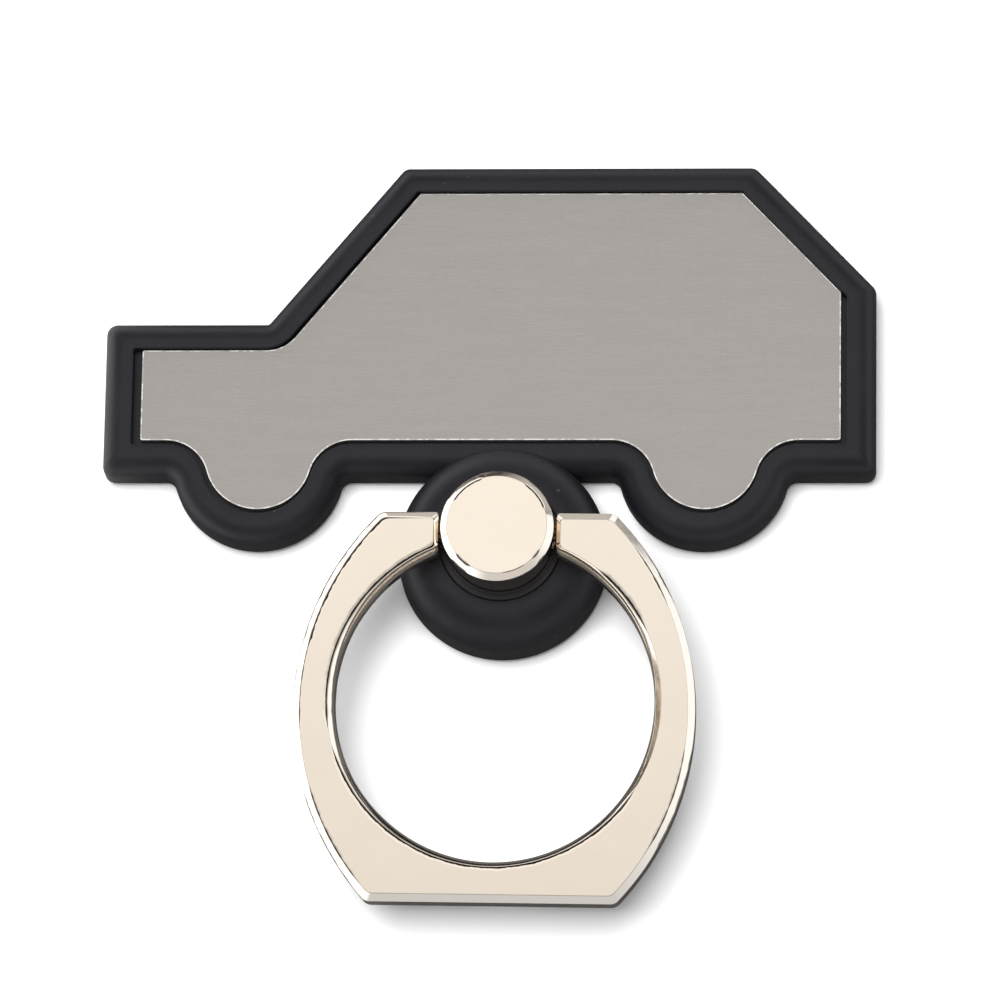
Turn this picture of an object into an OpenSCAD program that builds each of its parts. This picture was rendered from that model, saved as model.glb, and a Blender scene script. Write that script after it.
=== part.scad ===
// Phone ring holder: a car-shaped housing with an inlaid plate, and a finger ring
// that swivels on a boss under the car's sill and folds flat either way.
// It lies on its adhesive back. The origin is on the swivel axis at that back face,
// +Z points away from the phone, +Y to the roof and -X to the bonnet.

/* [Car outline] */
// Length of the housing, from the nose to the tailgate
body_len = 54.1; // [50:0.1:58]
// Height of the housing, from the sill to the roof
body_height = 22.6; // [20:0.1:26]
// Distance of the nose in front of the swivel axis
nose_x = 28.15; // [25:0.05:31]
// Distance of the sill above the swivel axis
sill_y = 5.5; // [4.8:0.1:6.5]
// Height of the bonnet above the sill
bonnet_height = 11.1; // [9:0.1:13]
// Distance from the nose to the front corner of the roof
roof_start = 20.85; // [18:0.05:23]
// Length of the roof
roof_len = 24.75; // [22:0.25:27]
// Slope of the windscreen in degrees
screen_deg = 50.7; // [46:0.1:58]
// Slope of the tail panel in degrees
tail_deg = 46.6; // [42:0.1:55]
// Radius of each wheel in the outline
wheel_r = 6; // [5:0.1:6.6]
// Height of the wheel centres above the sill
wheel_rise = 1; // [0:0.1:1.5]
// Distance from the nose to the front wheel's centre
front_wheel = 10.9; // [9.5:0.05:11.5]
// Distance between the wheel centres
wheel_base = 31.2; // [30:0.1:32.5]
// Radius where a wheel runs into the sill
arch_r = 0.78; // [0.5:0.02:1.2]
// Radius where the bonnet runs into the windscreen
cowl_r = 0.35; // [0.2:0.05:0.8]
// Radius of the outer corners of the outline
corner_r = 0.75; // [0.3:0.05:1.2]

/* [Housing section] */
// Height of the housing from its back to the crest of the rim
housing_h = 3; // [2.8:0.1:3.2]
// Width of the rim around the pocket
rim_w = 2.05; // [1.8:0.05:2.5]
// Radius of the rim's outer shoulder
rim_round = 1.45; // [1:0.05:1.7]
// Depth of the plate's face below the crest of the rim
plate_recess = 0.3; // [0.1:0.05:0.5]

/* [Inlay plate] */
// Thickness of the inlay plate
plate_t = 0.5; // [0.3:0.05:0.8]
// Thickness of the tape under the plate
tape_t = 0.1; // [0.05:0.05:0.2]
// Gap between the plate's edge and the pocket's wall
pocket_clear = 0.2; // [0.2:0.01:0.4]
// Gap between the plate's two upright ends and the pocket's wall
end_clear = 0.5; // [0.2:0.05:0.6]
// How far the tape stays inside the plate's edge
tape_inset = 0.8; // [0.5:0.1:1.5]
// Shift of the plate in its pocket towards the tail
plate_shift_x = 0.1; // [0:0.01:0.15]
// Shift of the plate in its pocket towards the roof
plate_shift_y = 0.15; // [0:0.01:0.15]

/* [Boss] */
// Diameter of the boss
boss_d = 14.6; // [14:0.1:15.3]
// Height of the boss above the back of the housing
boss_h = 4.9; // [4.6:0.1:5.2]
// Radius of the boss's rounded shoulder
boss_round = 2.8; // [2.4:0.1:2.9]
// Thickness of the web that the bush sits in
web_t = 1.4; // [1:0.1:1.6]
// Diameter of the hollow behind the boss
cavity_d = 10.4; // [9:0.1:11]
// Width of the step that the boss cover sits on
cover_step = 0.8; // [0.5:0.1:1.2]
// Thickness of the boss cover
cover_t = 0.6; // [0.4:0.1:0.8]

/* [Swivel] */
// Diameter of the post where it turns in the bush
post_d = 3; // [2.6:0.1:3.4]
// Diameter of the post's spigot in the hub
spigot_d = 2.4; // [2:0.1:2.5]
// Length of the spigot in the hub
spigot_len = 1.9; // [1.2:0.1:2.4]
// Diameter of the bush's barrel
bush_d = 5; // [4.4:0.1:5.6]
// Diameter of the bush's flange
flange_d = 8.45; // [7.6:0.05:8.9]
// Thickness of the bush's flange
flange_t = 0.7; // [0.5:0.1:0.9]
// Diameter of the thrust washer
washer_d = 7; // [6:0.1:8]
// Thickness of the thrust washer
washer_t = 0.3; // [0.2:0.05:0.4]
// Height of the spring washer's cone
spring_h = 0.45; // [0.35:0.05:0.5]
// Sheet thickness of the spring washer
spring_t = 0.2; // [0.1:0.05:0.25]
// Outer diameter of the retaining clip
clip_d = 5.6; // [5:0.1:6.4]
// Thickness of the retaining clip
clip_t = 0.3; // [0.2:0.05:0.4]
// Depth of the clip's groove in the post
groove_depth = 0.35; // [0.2:0.05:0.5]
// Length of the post below its clip
post_tail = 0.6; // [0.4:0.05:0.7]

/* [Hub and hinge] */
// Diameter of the hub
hub_d = 7.8; // [7.2:0.1:8.6]
// Height of the hub
hub_h = 4.4; // [4.1:0.05:4.8]
// Chamfer round the top of the hub
hub_chamfer = 0.45; // [0.2:0.05:0.6]
// Height of the hinge axis above the foot of the hub
hinge_rise = 2.3; // [2.05:0.05:2.4]
// Diameter of the hinge pins
pin_d = 1.2; // [1:0.05:1.4]
// Depth of each pin in the ring's end
pin_in_ring = 2.5; // [2:0.1:3]
// Depth of each pin in the hub, from the hub's side
pin_in_hub = 1.8; // [1.4:0.1:2]
// Wall of the drag sleeves round the pins
sleeve_wall = 0.45; // [0.3:0.05:0.6]

/* [Finger ring] */
// Width of the finger hole at its narrowest
bore_d = 21.1; // [20:0.1:22.4]
// How much longer than wide the finger hole is
bore_stretch = 0.8; // [0:0.05:1]
// Distance from the hinge axis to the centre of the finger hole
bore_y = 11.9; // [11.6:0.1:13]
// How far the wall of the finger hole bulges inwards at mid thickness
bore_belly = 0.44; // [0.2:0.02:0.6]
// Width of the ring across its curved sides
ring_w = 27.6; // [26.8:0.1:29]
// Radius of the curved sides
side_r = 19.3; // [17:0.1:22]
// Distance from the hinge axis to the ring's widest line
side_y = 12.55; // [12:0.05:13.2]
// Distance from the hinge axis to the ring's flat end at the hub
ring_top = 1.2; // [1.1:0.05:1.5]
// Distance from the hinge axis to the ring's far flat end
ring_foot = 25.8; // [25:0.1:27]
// Thickness of the ring
ring_t = 3; // [2.6:0.1:3.2]
// Chamfer along the ring's outer edges
ring_chamfer = 0.5; // [0.3:0.05:0.6]
// Chamfer round the finger hole
bore_chamfer = 0.5; // [0.3:0.05:0.7]
// Chamfer at the ring's two end faces
end_chamfer = 0.3; // [0.1:0.05:0.4]
// Gap between each end face and the hub
hub_gap = 0.16; // [0.15:0.01:0.3]
// Angle at which the ring hangs below level
ring_droop = 5.2; // [0:0.1:5.4]
// Angle by which the hub and ring are turned on the swivel
ring_turn = -0.6; // [-2:0.1:2]

/* [Back] */
// Thickness of the adhesive pad
pad_t = 0.5; // [0.4:0.05:1]
// Thickness of the release liner
liner_t = 0.1; // [0.05:0.05:0.2]
// How far the pad stays inside the outline
pad_inset = 1.2; // [0.8:0.1:2]

/* [Fits] */
// Radial clearance of a shaft that turns in a bore
run_clear = 0.04; // [0.02:0.01:0.08]
// Gap between faces that slide on each other
slide_gap = 0.05; // [0.02:0.01:0.1]
// Radial clearance of a piece that is seated in another
seat_clear = 0.02; // [0.01:0.01:0.05]

/* [Hidden] */
$fn = 96;

// Overlap that keeps joined solids from meeting in a bare face
eps = 0.01;
// Reach of a fillet's or a round's plan past the edge it runs into
overlap = 0.3;
// Steps along a wheel, along a fillet and over the rim's shoulder
wheel_steps = 24;
arch_steps = 5;
round_steps = 6;
// Step over the finger hole's wall, as a share of half its height
belly_step = 0.5;
// Spread of the pocket's corner stations to each side of the mitre
fan = 0.3;
// How far a fillet or a round crosses the edge it runs into, in place of a bare touch
graze = 0.01;

// Levels above the adhesive face
back_z = liner_t + pad_t;
crest_z = back_z + housing_h;
plate_z = crest_z - plate_recess - plate_t;
pocket_z = plate_z - tape_t;
shoulder_z = crest_z - rim_round;
boss_z = back_z + boss_h;
web_z = boss_z - flange_t - web_t;
hub_z = boss_z + slide_gap;
hinge_z = hub_z + hinge_rise;
washer_z = web_z - slide_gap - washer_t;
spring_z = washer_z - spring_h;
clip_z = spring_z - clip_t;
post_z = clip_z - post_tail;

// Points and lines of the outline
tail_x = body_len - nose_x;
roof_y = sill_y + body_height;
bonnet_y = sill_y + bonnet_height;
roof_x = roof_start - nose_x;
screen_x = roof_x - (roof_y - bonnet_y) / tan(screen_deg);
tail_y = roof_y - (tail_x - roof_x - roof_len) * tan(tail_deg);
wheel_y = sill_y + wheel_rise;
wheel_xs = [front_wheel - nose_x, front_wheel + wheel_base - nose_x];

// The outline's corners, counter-clockwise from the foot of the nose
CORNERS = [[-nose_x, sill_y], [tail_x, sill_y], [tail_x, tail_y],
           [roof_x + roof_len, roof_y], [roof_x, roof_y],
           [screen_x, bonnet_y], [-nose_x, bonnet_y]];
cowl = 5;

// A wheel's arch radius touches the sill at this distance from the wheel's centre
arch_reach = sqrt(pow(wheel_r + arch_r, 2) - pow(wheel_rise + arch_r, 2));
arch_y = sill_y - arch_r;

// Room for a cut to pass
past = 1;

// The ring's parts in its own plane
hub_r = hub_d / 2;
end_x = hub_r + hub_gap;
side_shift = side_r - ring_w / 2;
sleeve_r = pin_d / 2 + run_clear + sleeve_wall;
sleeve_len = pin_in_hub + 0.1;
sleeve_flat = hub_r - sqrt(pow(hub_r, 2) - pow(sleeve_r, 2)) + 0.05;

function unit(v) = v / norm(v);
function left_of(v) = [-v[1], v[0]];
function corner(i) = CORNERS[(i + len(CORNERS)) % len(CORNERS)];
function heading(i) = unit(corner(i + 1) - corner(i));

// Centre of the fillet between a wheel and the sill
function arch_foot(x, side) = [x + side * arch_reach, arch_y];

// Corner i moved inwards so that both of its edges move by d
function inset_corner(i, d) =
    let (a = left_of(heading(i - 1)), b = left_of(heading(i)))
    corner(i) + d * (a + b) / (1 + a * b);

// Distance from corner i to where a round of radius r leaves its edges
function tangent_len(i, r) =
    let (turn = acos(heading(i - 1) * heading(i)))
    r * tan(turn / 2);

// The wedge between corner i and its round, for the outline moved inwards by d;
// it reaches past the corner, so that it joins or cuts the outline cleanly
module corner_wedge(i, d, r) {
    v = inset_corner(i, d);
    side = i == cowl ? -1 : 1;
    t = tangent_len(i, r);
    start = v - t * heading(i - 1);
    centre = start + side * r * left_of(heading(i - 1));
    apex = inset_corner(i, d - side * overlap);
    end = v + t * heading(i);
    difference() {
        polygon(side > 0 ? [start, apex, end] : [end, apex, start]);
        translate(centre)
            circle(r = r + graze);
    }
}

// The fillet between a wheel and the sill, on the side given by 1 or -1
module arch_fillet(x, side, d) {
    foot = arch_foot(x, side);
    high = sill_y + d + overlap;
    outer = [foot, [foot[0], high]];
    inner = [[x, high + wheel_rise], [x, wheel_y]];
    difference() {
        polygon(side > 0 ? concat(outer, inner) : [inner[1], inner[0], outer[1], outer[0]]);
        translate(foot)
            circle(r = arch_r + d + graze);
    }
}

// The car's outline moved inwards by d
module car_outline(d) {
    difference() {
        union() {
            polygon([for (i = [0 : len(CORNERS) - 1]) inset_corner(i, d)]);
            corner_wedge(cowl, d, cowl_r + d);
            for (x = wheel_xs) {
                translate([x, wheel_y])
                    circle(r = wheel_r - d);
                arch_fillet(x, 1, d);
                arch_fillet(x, -1, d);
            }
        }
        if (corner_r > d)
            for (i = [0 : len(CORNERS) - 1])
                if (i != cowl)
                    corner_wedge(i, d, corner_r - d);
    }
}

// The outline of the pad and liner: the car and the boss together, with the neck between
module back_outline(d) {
    r = boss_d / 2;
    neck = sqrt(pow(r, 2) - pow(sill_y, 2)) - d;
    car_outline(d);
    circle(r = r - d);
    translate([-neck, 0])
        square([2 * neck, sill_y + d + overlap]);
}

// Direction at a degrees
function ray(a) = [cos(a), sin(a)];

// Angle of a direction in degrees
function bearing(v) = atan2(v[1], v[0]);

// The rim is a skin over stations round the outline, counter-clockwise. Each station
// is a pair: a point on the outer wall and its partner on the pocket's wall.
function round_station(centre, r, a, depth) = [centre + r * ray(a), centre + (r + depth) * ray(a)];

// Stations round an outer corner; those inside it fan out a little from the mitre
function corner_stations(i) =
    let (a = heading(i - 1), b = heading(i), turn = acos(a * b),
         centre = corner(i) - tangent_len(i, corner_r) * a + corner_r * left_of(a),
         first = bearing(-left_of(a)), mitre = inset_corner(i, rim_w))
    [for (f = [0 : 0.25 : 1])
        [centre + corner_r * ray(first + turn * f),
         mitre + fan * (f < 0.5 ? (2 * f - 1) * a : (2 * f - 1) * b)]];

// Stations round the hollow where the bonnet meets the windscreen
function cowl_stations() =
    let (a = heading(cowl - 1), turn = acos(a * heading(cowl)),
         centre = corner(cowl) - tangent_len(cowl, cowl_r) * a - cowl_r * left_of(a))
    [for (f = [0 : 0.2 : 1])
        round_station(centre, cowl_r, bearing(left_of(a)) - turn * f, rim_w)];

// Stations along a wheel and the fillets on both its sides
function wheel_stations(x) =
    let (dip = asin((wheel_rise + arch_r) / (wheel_r + arch_r)), sweep = 180 - 2 * dip)
    concat(
        [for (f = [0 : 1 / arch_steps : 1])
            round_station(arch_foot(x, -1), arch_r, 90 - (90 - dip) * f, rim_w)],
        [for (k = [1 : wheel_steps - 1])
            round_station([x, wheel_y], wheel_r, 180 + dip + sweep * k / wheel_steps, -rim_w)],
        [for (f = [0 : 1 / arch_steps : 1])
            round_station(arch_foot(x, 1), arch_r, 180 - dip - (90 - dip) * f, rim_w)]);

stations = concat(corner_stations(0), wheel_stations(wheel_xs[0]), wheel_stations(wheel_xs[1]),
                  corner_stations(1), corner_stations(2), corner_stations(3), corner_stations(4),
                  cowl_stations(), corner_stations(6));

// The rim's closed section: depth inwards from the outer wall, and height
section = concat(
    [[0, back_z]],
    [for (a = [0 : 90 / round_steps : 90])
        [rim_round * (1 - cos(a)), shoulder_z + rim_round * sin(a)]],
    [[rim_w, crest_z], [rim_w, back_z]]);

// The rim all round as one closed skin
module rim() {
    n = len(stations);
    m = len(section);
    skin = [for (p = section, s = stations)
        let (xy = s[0] + (s[1] - s[0]) * p[0] / rim_w) [xy[0], xy[1], p[1]]];
    faces = [for (r = [0 : m - 1], k = [0 : n - 1])
        let (here = r * n, above = (r + 1) % m * n, next = (k + 1) % n)
        each [[here + k, above + k, above + next], [here + k, above + next, here + next]]];
    polyhedron(skin, faces, convexity = 6);
}

// The boss with its rounded shoulder
module boss_solid() {
    r = boss_d / 2;
    rotate_extrude() {
        translate([0, back_z])
            square([r, boss_h - boss_round]);
        translate([0, back_z])
            square([r - boss_round, boss_h]);
        intersection() {
            translate([r - boss_round, boss_z - boss_round])
                circle(r = boss_round);
            translate([r - boss_round, boss_z - boss_round])
                square(boss_round);
        }
    }
}

// The moulded body: floor, rim, pocket and hollow boss
module housing() {
    color([0.14, 0.14, 0.16])
        difference() {
            union() {
                rim();
                translate([0, 0, back_z])
                    linear_extrude(pocket_z - back_z)
                        car_outline(rim_w / 2);
                boss_solid();
            }
            translate([0, 0, back_z - past])
                cylinder(d = cavity_d + 2 * cover_step, h = cover_t + past);
            translate([0, 0, back_z])
                cylinder(d = cavity_d, h = web_z - back_z);
            translate([0, 0, web_z - past])
                cylinder(d = bush_d, h = boss_h);
            translate([0, 0, boss_z - flange_t])
                cylinder(d = flange_d + 2 * seat_clear, h = flange_t + past);
        }
}

// The plate's outline moved inwards by d, with its two ends cut back a little further
module plate_outline(d) {
    end = rim_w + end_clear + d;
    translate([plate_shift_x, plate_shift_y])
        intersection() {
            car_outline(rim_w + pocket_clear + d);
            translate([end - nose_x, 0])
                square([body_len - 2 * end, roof_y]);
        }
}

// The brushed plate in the pocket
module inlay_plate() {
    color([0.66, 0.65, 0.62])
        translate([0, 0, plate_z])
            linear_extrude(plate_t)
                plate_outline(0);
}

// The film that holds the plate
module plate_tape() {
    color([0.9, 0.88, 0.8])
        translate([0, 0, pocket_z])
            linear_extrude(tape_t)
                plate_outline(tape_inset);
}

// The disc that closes the boss from behind
module boss_cover() {
    color([0.12, 0.12, 0.13])
        translate([0, 0, back_z])
            cylinder(d = cavity_d + 2 * cover_step - 2 * seat_clear, h = cover_t);
}

// The adhesive foam on the back
module mounting_pad() {
    color([0.2, 0.2, 0.21])
        translate([0, 0, liner_t])
            linear_extrude(pad_t)
                back_outline(pad_inset);
}

// The film over the adhesive
module release_liner() {
    color([0.93, 0.92, 0.88])
        linear_extrude(liner_t)
            back_outline(pad_inset);
}

// The flanged bush in the boss
module swivel_bush() {
    color([0.1, 0.1, 0.11])
        difference() {
            union() {
                translate([0, 0, web_z])
                    cylinder(d = bush_d - 2 * seat_clear, h = web_t + eps);
                translate([0, 0, boss_z - flange_t])
                    cylinder(d = flange_d, h = flange_t);
            }
            translate([0, 0, web_z - past])
                cylinder(d = post_d + 2 * run_clear, h = boss_h);
        }
}

// Puts a piece drawn about the hinge axis at that axis
module turned() {
    translate([0, 0, hinge_z])
        rotate([0, 0, ring_turn])
            children();
}

// Bore for one drag sleeve, from the hub's side towards its middle
module sleeve_bore(side) {
    turned()
        translate([side * (hub_r - sleeve_len), 0, 0])
            rotate([0, 90 * side, 0])
                cylinder(r = sleeve_r + seat_clear, h = sleeve_len + past);
}

// The plated round block that carries the ring
module hub() {
    color([0.95, 0.9, 0.82])
        difference() {
            translate([0, 0, hub_z])
                union() {
                    cylinder(d = hub_d, h = hub_h - hub_chamfer);
                    translate([0, 0, hub_h - hub_chamfer])
                        cylinder(r1 = hub_r, r2 = hub_r - hub_chamfer, h = hub_chamfer);
                }
            translate([0, 0, hub_z - past])
                cylinder(d = spigot_d + 2 * seat_clear, h = spigot_len + past);
            sleeve_bore(1);
            sleeve_bore(-1);
        }
}

// The stepped post under the hub, with a groove for the clip
module swivel_post() {
    color([0.7, 0.7, 0.72])
        difference() {
            union() {
                translate([0, 0, post_z])
                    cylinder(d = post_d, h = hub_z - post_z);
                translate([0, 0, hub_z - eps])
                    cylinder(d = spigot_d, h = spigot_len + eps);
            }
            translate([0, 0, clip_z - slide_gap])
                difference() {
                    cylinder(d = post_d + past, h = clip_t + slide_gap);
                    translate([0, 0, -past])
                        cylinder(d = post_d - 2 * groove_depth, h = clip_t + 2 * past);
                }
        }
}

// The flat washer that turns against the web
module thrust_washer() {
    color([0.75, 0.75, 0.76])
        translate([0, 0, washer_z])
            difference() {
                cylinder(d = washer_d, h = washer_t);
                translate([0, 0, -past])
                    cylinder(d = post_d + 2 * seat_clear, h = washer_t + 2 * past);
            }
}

// The conical washer that presses the hub down
module spring_washer() {
    inner = post_d / 2 + seat_clear;
    outer = washer_d / 2 - 0.2;
    color([0.6, 0.6, 0.63])
        translate([0, 0, spring_z])
            rotate_extrude()
                polygon([[inner, 0], [inner, spring_t],
                         [outer, spring_h], [outer, spring_h - spring_t]]);
}

// The open clip in the post's groove
module retaining_clip() {
    inner = post_d - 2 * groove_depth + 2 * seat_clear;
    color([0.55, 0.55, 0.58])
        translate([0, 0, clip_z])
            linear_extrude(clip_t)
                difference() {
                    circle(d = clip_d);
                    circle(d = inner);
                    translate([-inner * 0.4, -clip_d])
                        square([inner * 0.8, clip_d]);
                }
}

// A sleeve in the hub, its outer end just below the hub's round side
module drag_sleeve(side) {
    color([0.2, 0.2, 0.22])
        turned()
            translate([side * (hub_r - sleeve_len), 0, 0])
                rotate([0, 90 * side, 0])
                    difference() {
                        cylinder(r = sleeve_r, h = sleeve_len - sleeve_flat);
                        translate([0, 0, -past])
                            cylinder(d = pin_d + 2 * run_clear, h = sleeve_len + 2 * past);
                    }
}

module drag_sleeve_left() {
    drag_sleeve(-1);
}

module drag_sleeve_right() {
    drag_sleeve(1);
}

// Puts a piece drawn flat about the hinge axis at the ring's resting angle
module hung() {
    turned()
        rotate([ring_droop, 0, 0])
            children();
}

// A disc whose edge carries the ring's side chamfers
module chamfered_disc() {
    half = ring_t / 2;
    rotate_extrude()
        polygon([[0, -half], [side_r - ring_chamfer, -half],
                 [side_r, -half + ring_chamfer], [side_r, half - ring_chamfer],
                 [side_r - ring_chamfer, half], [0, half]]);
}

// A bar whose long edges carry the chamfers of the ring's two flat ends
module chamfered_bar() {
    half = ring_t / 2;
    translate([-ring_w, 0, 0])
        rotate([90, 0, 90])
            linear_extrude(2 * ring_w)
                polygon([[-ring_foot, -half + ring_chamfer], [-ring_foot + ring_chamfer, -half],
                         [ring_top - ring_chamfer, -half], [ring_top, -half + ring_chamfer],
                         [ring_top, half - ring_chamfer], [ring_top - ring_chamfer, half],
                         [-ring_foot + ring_chamfer, half], [-ring_foot, half - ring_chamfer]]);
}

// Half section of the finger hole: a wall that bulges inwards, then a straight mouth
// that is wider by the chamfer given
function hole_section(chamfer) =
    let (half = ring_t / 2, wall = half - bore_chamfer, r = bore_d / 2,
         mouth = r + bore_belly + (chamfer > 0 ? chamfer + past : 0))
    concat([[0, -half - past], [mouth, -half - past]],
        [for (f = [-1 : belly_step : 1]) [r + bore_belly * f * f, wall * f]],
        [[mouth, half + past], [0, half + past]]);

// The finger hole: a round one with chamfers, stretched along its length by plain ones
module finger_hole() {
    shift = bore_stretch / 2;
    translate([0, -bore_y, 0]) {
        rotate_extrude()
            polygon(hole_section(bore_chamfer));
        for (side = [-1, 1])
            translate([0, side * shift, 0])
                rotate_extrude()
                    polygon(hole_section(0));
        translate([0, shift, 0])
            rotate([90, 0, 0])
                linear_extrude(bore_stretch)
                    for (side = [0, 1])
                        mirror([side, 0])
                            polygon(hole_section(0));
    }
}

// The opening for the hub between the ring's two end faces
module hub_opening() {
    half = ring_t / 2;
    wide = end_x + end_chamfer + past;
    translate([0, ring_top + past, 0])
        rotate([90, 0, 0])
            linear_extrude(bore_y + ring_top + past)
                polygon([[-wide, -half - past], [wide, -half - past],
                         [end_x, -half + end_chamfer], [end_x, half - end_chamfer],
                         [wide, half + past], [-wide, half + past],
                         [-end_x, half - end_chamfer], [-end_x, -half + end_chamfer]]);
}

// The plated finger ring
module finger_ring() {
    color([0.95, 0.9, 0.82])
        hung()
            difference() {
                intersection() {
                    translate([-side_shift, -side_y, 0])
                        chamfered_disc();
                    translate([side_shift, -side_y, 0])
                        chamfered_disc();
                    chamfered_bar();
                }
                finger_hole();
                hub_opening();
                for (side = [-1, 1])
                    translate([side * (end_x - past), 0, 0])
                        rotate([0, 90 * side, 0])
                            cylinder(d = pin_d + 2 * seat_clear, h = pin_in_ring + past);
            }
}

// A short pin from the ring's end into the hub's sleeve
module hinge_pin(side) {
    color([0.75, 0.75, 0.76])
        hung()
            translate([side * (hub_r - pin_in_hub), 0, 0])
                rotate([0, 90 * side, 0])
                    cylinder(d = pin_d, h = pin_in_hub + hub_gap + pin_in_ring);
}

module hinge_pin_left() {
    hinge_pin(-1);
}

module hinge_pin_right() {
    hinge_pin(1);
}

housing();
inlay_plate();
plate_tape();
boss_cover();
mounting_pad();
release_liner();
swivel_bush();
hub();
swivel_post();
thrust_washer();
spring_washer();
retaining_clip();
drag_sleeve_left();
drag_sleeve_right();
finger_ring();
hinge_pin_left();
hinge_pin_right();
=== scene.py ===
"""Looks of a phone ring holder: satin car-shaped housing, brushed plate and plated finger ring.

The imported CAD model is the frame. Sizes of the pieces are in millimetres and repeat the driving
dimensions of the part; meshes are written in metres. Sizes of grain, relief and room are in metres.
"""

import logging
import math
from collections.abc import Sequence
from dataclasses import dataclass, field
from enum import Enum

import bmesh
import bpy
from mathutils import Matrix, Vector
from mathutils.geometry import tessellate_polygon


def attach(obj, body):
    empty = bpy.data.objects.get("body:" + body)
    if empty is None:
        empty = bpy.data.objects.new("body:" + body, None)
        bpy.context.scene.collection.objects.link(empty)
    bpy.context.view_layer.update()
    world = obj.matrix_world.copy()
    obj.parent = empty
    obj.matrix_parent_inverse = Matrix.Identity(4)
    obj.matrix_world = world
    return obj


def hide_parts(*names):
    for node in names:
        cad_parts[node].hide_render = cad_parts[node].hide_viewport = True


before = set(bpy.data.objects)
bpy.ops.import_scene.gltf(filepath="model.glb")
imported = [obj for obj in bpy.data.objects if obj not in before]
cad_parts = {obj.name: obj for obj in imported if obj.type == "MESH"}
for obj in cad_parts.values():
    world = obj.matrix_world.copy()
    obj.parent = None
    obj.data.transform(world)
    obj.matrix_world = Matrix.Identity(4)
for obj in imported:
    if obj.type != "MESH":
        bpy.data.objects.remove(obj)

LOG = logging.getLogger("ring_holder")
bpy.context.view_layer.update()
MM = 0.001
QUARTER = math.pi / 2
EIGHTH = math.pi / 4
SHARP_ANGLE = math.radians(32)
WELD = 1e-7  # metres; points closer than this become one
SLIVER = 1e-8  # metres; shorter edges are dissolved
OVERCUT = 1.0  # millimetres that a cutter reaches past the surface
FLAT_MARGIN = 0.05  # millimetres of flat face next to a rounded edge
LAST_CHORD = 0.9  # largest share of the last chord that is cut off the end of a run
ROUND_HANDLE = 0.55  # reach of a corner curve's handles, as a share of the length cut off
CHAMFER_TOP_STEPS, CHAMFER_FOOT_STEPS = 8, 6  # levels in the rounds above and below a chamfer
FLUTTER = ((61, 0), (143, 1), (29, 2))  # waves a turn and phase of the unevenness of worn edges

# Short names for long types
Piece = bpy.types.Object
Socket = bpy.types.NodeSocket
Tree = bpy.types.NodeTree
Loop = list[Vector]
Profile = list[tuple[float, float]]
Triple = tuple[float, float, float]
Span = tuple[float, float]
Wiring = tuple[Socket, Socket, Socket]


class Body(str, Enum):
    """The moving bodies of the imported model."""

    BASE = "base"
    SWIVEL = "swivel"
    RING = "ring"


class Slot(str, Enum):
    """The finishes, named after the material slots of the record where one exists."""

    SHELL = "black_shell"
    INLAY = "brushed_inlay"
    PLATING = "pale_gold_plate"
    STEEL = "steel_fittings"
    PINS = "hinge_pins"
    ACETAL = "acetal"
    FOAM = "foam_tape"
    LINER = "liner_film"


class Cap(Enum):
    """Which ends of a lofted skin are closed."""

    NONE = 0
    BOTH = 2


class Join(Enum):
    """How two solids become one."""

    ADD = "UNION"
    CUT = "DIFFERENCE"


class Mixed(Enum):
    """What a Mix node mixes: its data type, the places of its inputs and of its output."""

    VALUE = ("FLOAT", (0, 2, 3), 0)
    COLOUR = ("RGBA", (0, 6, 7), 2)


# Plan geometry


def ray(angle: float) -> Vector:
    """Unit vector in the plane at an angle in radians."""
    return Vector((math.cos(angle), math.sin(angle)))


def left_of(v: Vector) -> Vector:
    """The vector turned a quarter turn to the left."""
    return Vector((-v.y, v.x))


def bearing(v: Vector) -> float:
    """Angle of a vector in the plane, in radians."""
    return math.atan2(v.y, v.x)


def arc(centre: Vector, radius: float, start: float, sweep: float, steps: int) -> Loop:
    """Points along an arc, both ends included.

    Args:
        centre: centre of the arc.
        radius: its radius.
        start: bearing of the first point in radians.
        sweep: angle swept, positive to the left.
        steps: number of chords.

    Returns:
        steps + 1 points.
    """
    return [centre + radius * ray(start + sweep * k / steps) for k in range(steps + 1)]


def quarter_round(x: float, y: float, radius: float, start_deg: float, steps: int,
                  way: int = -1) -> Profile:
    """A quarter round in a section.

    Args:
        x: distance of its centre along the section.
        y: height of its centre.
        radius: radius of the round.
        start_deg: bearing of the first point in degrees.
        steps: number of chords.
        way: 1 turns to the left, -1 to the right.

    Returns:
        steps + 1 points.
    """
    turns = [math.radians(start_deg + way * 90 * k / steps) for k in range(steps + 1)]
    return [(x + radius * math.cos(a), y + radius * math.sin(a)) for a in turns]


def trimmed(points: Loop, length: float, from_end: bool) -> Loop:
    """Cuts a length off one end of an open run of points.

    Args:
        points: the run.
        length: how much is cut off.
        from_end: True cuts at the end, False at the start.

    Returns:
        The shorter run.
    """
    run = list(reversed(points)) if from_end else list(points)
    left = length
    while len(run) > 2 and (run[1] - run[0]).length <= left:
        left -= (run[1] - run[0]).length
        run.pop(0)
    step = run[1] - run[0]
    run[0] = run[0] + step.normalized() * min(left, step.length * LAST_CHORD)
    return list(reversed(run)) if from_end else run


def resampled(points: Loop, count: int) -> Loop:
    """Spreads points evenly along an open run of points.

    Args:
        points: the run.
        count: number of chords.

    Returns:
        count + 1 points.
    """
    lengths = [0.0]
    for a, b in zip(points, points[1:]):
        lengths.append(lengths[-1] + (b - a).length)
    spread: Loop = []
    at = 0
    for k in range(count + 1):
        target = lengths[-1] * k / count
        while at < len(points) - 2 and lengths[at + 1] < target:
            at += 1
        span = lengths[at + 1] - lengths[at]
        share = (target - lengths[at]) / span if span > 0 else 0.0
        spread.append(points[at].lerp(points[at + 1], min(max(share, 0.0), 1.0)))
    return spread


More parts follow.
